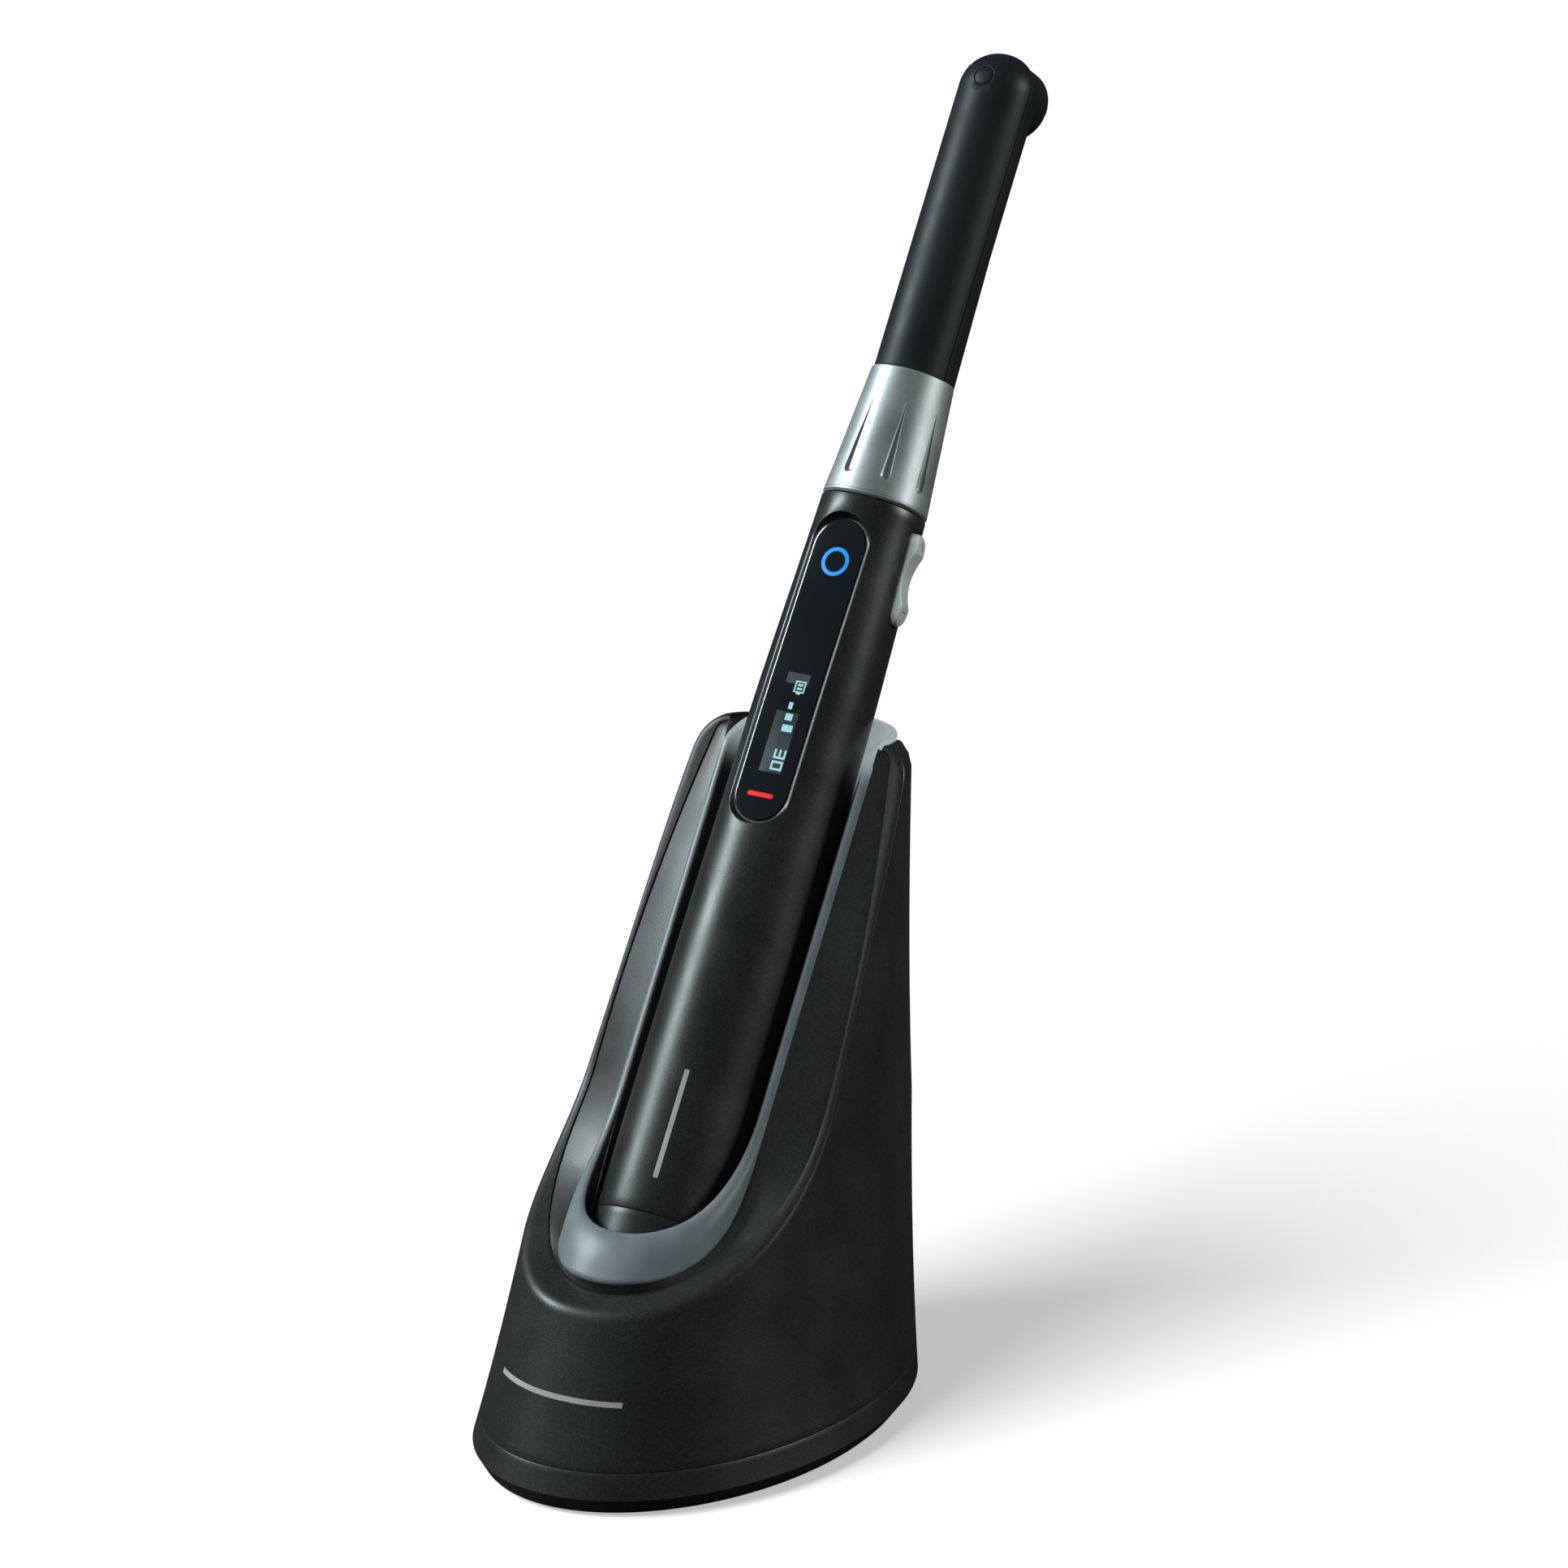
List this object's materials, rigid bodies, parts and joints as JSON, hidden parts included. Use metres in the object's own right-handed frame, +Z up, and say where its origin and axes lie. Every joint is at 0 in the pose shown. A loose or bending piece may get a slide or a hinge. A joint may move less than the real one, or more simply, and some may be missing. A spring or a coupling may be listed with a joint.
{
  "type": "dental curing light in charging dock",
  "caption": "Cordless pen-shaped dental curing light leaning in a weighted charging dock, with a turning light head, side rocker button and soft cradle liner.",
  "frame": {"origin": "middle of the dock's footprint on the table, under its anti-slip pad", "axes": "+Z up, -Y towards the dock's front, where the cradle's lip and the wand's display face, +X to the side that carries the rocker button"},
  "size_m": [0.0748, 0.1815, 0.2497],
  "materials": {
    "dock_plastic": "fine-textured matte black moulding",
    "silicone": "translucent blue-grey silicone, satin",
    "black_plastic": "plain black moulding",
    "satin_black": "satin soft black",
    "contact_brass": "gold-plated",
    "handle_coat": "charcoal metallic lacquer, matte",
    "window_black": "glossy black window",
    "rocker_grey": "mid grey, satin",
    "steel": "machined",
    "collar_metal": "satin silver",
    "circuit_board": "green solder mask",
    "cell_wrap": "blue shrink wrap",
    "blue_light": "lit light guide",
    "red_light": "lit light guide",
    "rubber": "matte black rubber",
    "lens_glass": "clear domed lens"
  },
  "bodies": {
    "dock": {"dock_shell": "dock_plastic", "dock_face_panel": "dock_plastic", "base_tray": "dock_plastic", "base_pad": "rubber", "ballast_block": "steel", "charge_board": "circuit_board", "dc_socket": "black_plastic", "cradle_liner": "silicone", "cradle_cup": "black_plastic", "contact_block": "black_plastic", "contact_barrel_left": "contact_brass", "contact_barrel_right": "contact_brass", "base_screw_front_left": "steel", "base_screw_front_right": "steel", "base_screw_rear_left": "steel", "base_screw_rear_right": "steel"},
    "contact_left": {"contact_pin_left": "contact_brass"},
    "contact_right": {"contact_pin_right": "contact_brass"},
    "wand": {"handle_shell": "handle_coat", "display_window": "window_black", "end_cap": "handle_coat", "charge_pad_left": "contact_brass", "charge_pad_right": "contact_brass", "rocker_pin": "steel", "rocker_bracket": "black_plastic", "tact_switch_down": "steel", "tact_switch_up": "steel", "battery_cell": "cell_wrap", "battery_spring": "steel", "main_board": "circuit_board", "oled_module": "window_black", "ring_light_guide": "blue_light", "touch_sensor": "circuit_board", "status_bar_guide": "red_light", "turn_socket": "contact_brass"},
    "rocker": {"rocker_button": "rocker_grey"},
    "neck": {"grip_collar": "collar_metal", "neck_spigot": "steel", "seal_ring": "rubber", "neck_front_shell": "satin_black", "neck_back_shell": "satin_black", "head_indicator": "satin_black", "lens_ring": "steel", "lens": "lens_glass", "led_board": "circuit_board", "led_emitter": "contact_brass", "heat_sink": "collar_metal"}
  },
  "joints": [
    {"name": "wand_lift", "type": "slide", "parent": "dock", "child": "wand", "axis": [0, 0.5476, 0.8368], "range_m": [0, 0.16]},
    {"name": "neck_turn", "type": "hinge", "parent": "wand", "child": "neck", "pos_m": [0, 0.06762, 0.16923], "axis": [0, 0.5476, 0.8368], "range_deg": [-180, 180]},
    {"name": "rocker_tilt", "type": "hinge", "parent": "wand", "child": "rocker", "pos_m": [0.00646, 0.06107, 0.15798], "axis": [-0.1045, 0.8322, -0.5446], "range_deg": [-2.5, 2.5], "stiffness_Nm_per_rad": 0.2},
    {"name": "contact_press_left", "type": "slide", "parent": "dock", "child": "contact_left", "axis": [0, 0.5476, 0.8368], "range_m": [-0.0008, 0], "stiffness_N_per_m": 400},
    {"name": "contact_press_right", "type": "slide", "parent": "dock", "child": "contact_right", "axis": [0, 0.5476, 0.8368], "range_m": [-0.0008, 0], "stiffness_N_per_m": 400}
  ]
}
